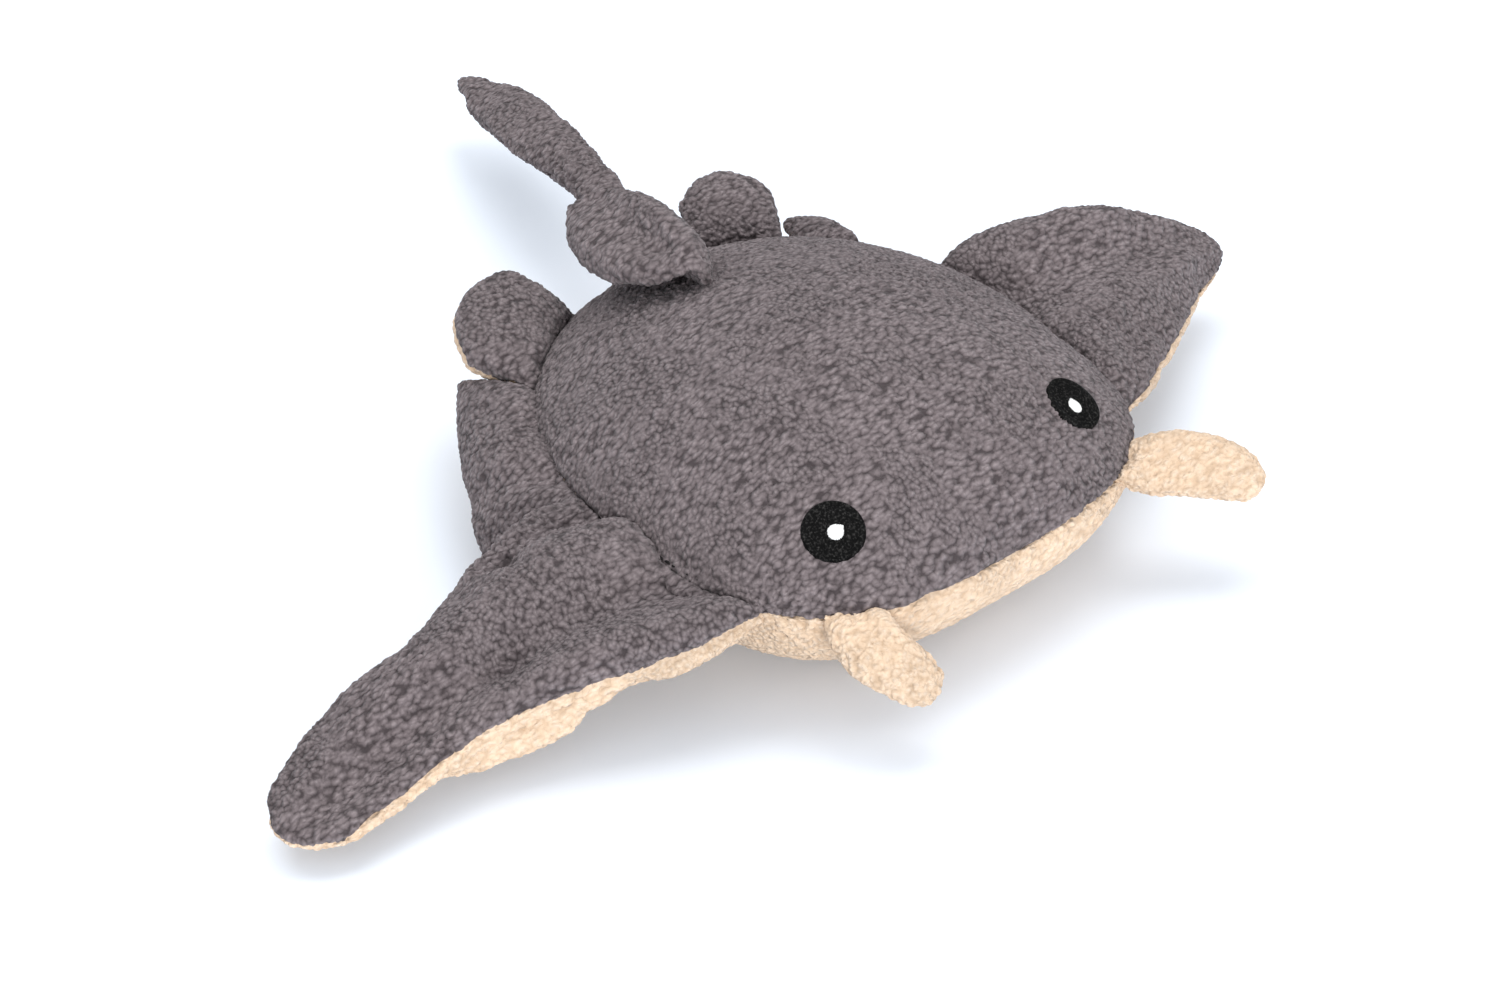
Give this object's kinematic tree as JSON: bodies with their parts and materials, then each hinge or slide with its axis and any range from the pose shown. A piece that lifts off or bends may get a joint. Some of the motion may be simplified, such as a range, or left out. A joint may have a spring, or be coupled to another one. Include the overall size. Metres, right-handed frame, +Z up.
{
  "type": "plush manta ray",
  "caption": "Stuffed fleece manta ray toy with a grey back, cream belly, embroidered eyes and floppy sewn-on fins and tail.",
  "frame": {"origin": "centre of the flat spot on the underside of the belly that the toy rests on", "axes": "+Z up out of the back, -Y towards the nose, +Y towards the tail, +X towards the ray's own left wing"},
  "size_m": [0.4132, 0.3731, 0.0863],
  "materials": {
    "grey_fleece": "curly sherpa fleece, matt, warm dark grey",
    "cream_fleece": "curly sherpa fleece, matt, cream",
    "eye_embroidery": "black satin-stitch thread, slightly shiny",
    "highlight_embroidery": "white satin-stitch thread",
    "thread": "dark polyester sewing thread",
    "stuffing": "white polyester fibre filling"
  },
  "bodies": {
    "torso": {"belly_panel": "cream_fleece", "body_stuffing": "stuffing", "back_panel": "grey_fleece", "right_eye_patch": "eye_embroidery", "right_eye_highlight": "highlight_embroidery", "left_eye_patch": "eye_embroidery", "left_eye_highlight": "highlight_embroidery", "right_seam_thread": "thread", "left_seam_thread": "thread"},
    "right_wing": {"right_wing_belly": "cream_fleece", "right_wing_stuffing": "stuffing", "right_wing_top": "grey_fleece"},
    "left_wing": {"left_wing_belly": "cream_fleece", "left_wing_stuffing": "stuffing", "left_wing_top": "grey_fleece"},
    "right_rear_fin": {"right_rear_fin_belly": "cream_fleece", "right_rear_fin_stuffing": "stuffing", "right_rear_fin_top": "grey_fleece"},
    "left_rear_fin": {"left_rear_fin_belly": "cream_fleece", "left_rear_fin_stuffing": "stuffing", "left_rear_fin_top": "grey_fleece"},
    "right_pelvic_lobe": {"right_pelvic_lobe_belly": "cream_fleece", "right_pelvic_lobe_stuffing": "stuffing", "right_pelvic_lobe_top": "grey_fleece"},
    "left_pelvic_lobe": {"left_pelvic_lobe_belly": "cream_fleece", "left_pelvic_lobe_stuffing": "stuffing", "left_pelvic_lobe_top": "grey_fleece"},
    "tail": {"tail_belly": "grey_fleece", "tail_stuffing": "stuffing", "tail_top": "grey_fleece"},
    "right_cephalic_fin": {"right_cephalic_fin_belly": "cream_fleece", "right_cephalic_fin_stuffing": "stuffing", "right_cephalic_fin_top": "cream_fleece"},
    "left_cephalic_fin": {"left_cephalic_fin_belly": "cream_fleece", "left_cephalic_fin_stuffing": "stuffing", "left_cephalic_fin_top": "cream_fleece"},
    "back_fin": {"back_fin_left_panel": "grey_fleece", "back_fin_right_panel": "grey_fleece", "back_fin_stuffing": "stuffing"}
  },
  "joints": [
    {"name": "right_wing_flap", "type": "hinge", "parent": "torso", "child": "right_wing", "pos_m": [-0.08898, -0.02072, 0.04], "axis": [-0.1289, 0.9917, 0], "range_deg": [-25, 40], "stiffness_Nm_per_rad": 0.5},
    {"name": "left_wing_flap", "type": "hinge", "parent": "torso", "child": "left_wing", "pos_m": [0.08898, -0.02072, 0.04], "axis": [-0.1289, -0.9917, 0], "range_deg": [-22, 40], "stiffness_Nm_per_rad": 0.4},
    {"name": "right_rear_fin_bend", "type": "hinge", "parent": "torso", "child": "right_rear_fin", "pos_m": [-0.07885, 0.0512, 0.04], "axis": [0.4242, 0.9056, 0], "range_deg": [-20, 25], "stiffness_Nm_per_rad": 0.12},
    {"name": "left_rear_fin_bend", "type": "hinge", "parent": "torso", "child": "left_rear_fin", "pos_m": [0.07885, 0.0512, 0.04], "axis": [0.4242, -0.9056, 0], "range_deg": [-9, 25], "stiffness_Nm_per_rad": 0.12},
    {"name": "right_pelvic_lobe_bend", "type": "hinge", "parent": "torso", "child": "right_pelvic_lobe", "pos_m": [-0.0427, 0.09432, 0.04], "axis": [0.8596, 0.5109, 0], "range_deg": [-25, 13], "stiffness_Nm_per_rad": 0.08},
    {"name": "left_pelvic_lobe_bend", "type": "hinge", "parent": "torso", "child": "left_pelvic_lobe", "pos_m": [0.0427, 0.09432, 0.04], "axis": [0.8596, -0.5109, 0], "range_deg": [-25, 13], "stiffness_Nm_per_rad": 0.08},
    {"name": "tail_lift", "type": "hinge", "parent": "torso", "child": "tail", "pos_m": [0, 0.10692, 0.04], "axis": [1, 0, 0], "range_deg": [-8, 45], "stiffness_Nm_per_rad": 0.35},
    {"name": "right_cephalic_fin_bend", "type": "hinge", "parent": "torso", "child": "right_cephalic_fin", "pos_m": [-0.06072, -0.08038, 0.04], "axis": [-0.8593, 0.5114, 0], "range_deg": [-3, 35], "stiffness_Nm_per_rad": 0.06},
    {"name": "left_cephalic_fin_bend", "type": "hinge", "parent": "torso", "child": "left_cephalic_fin", "pos_m": [0.06072, -0.08038, 0.04], "axis": [-0.8593, -0.5114, 0], "range_deg": [-25, 30], "stiffness_Nm_per_rad": 0.06},
    {"name": "back_fin_fold", "type": "hinge", "parent": "torso", "child": "back_fin", "pos_m": [-0.0055, 0.0685, 0.06738], "axis": [0.1162, 0.906, -0.4071], "range_deg": [-8, 45], "stiffness_Nm_per_rad": 0.1}
  ]
}
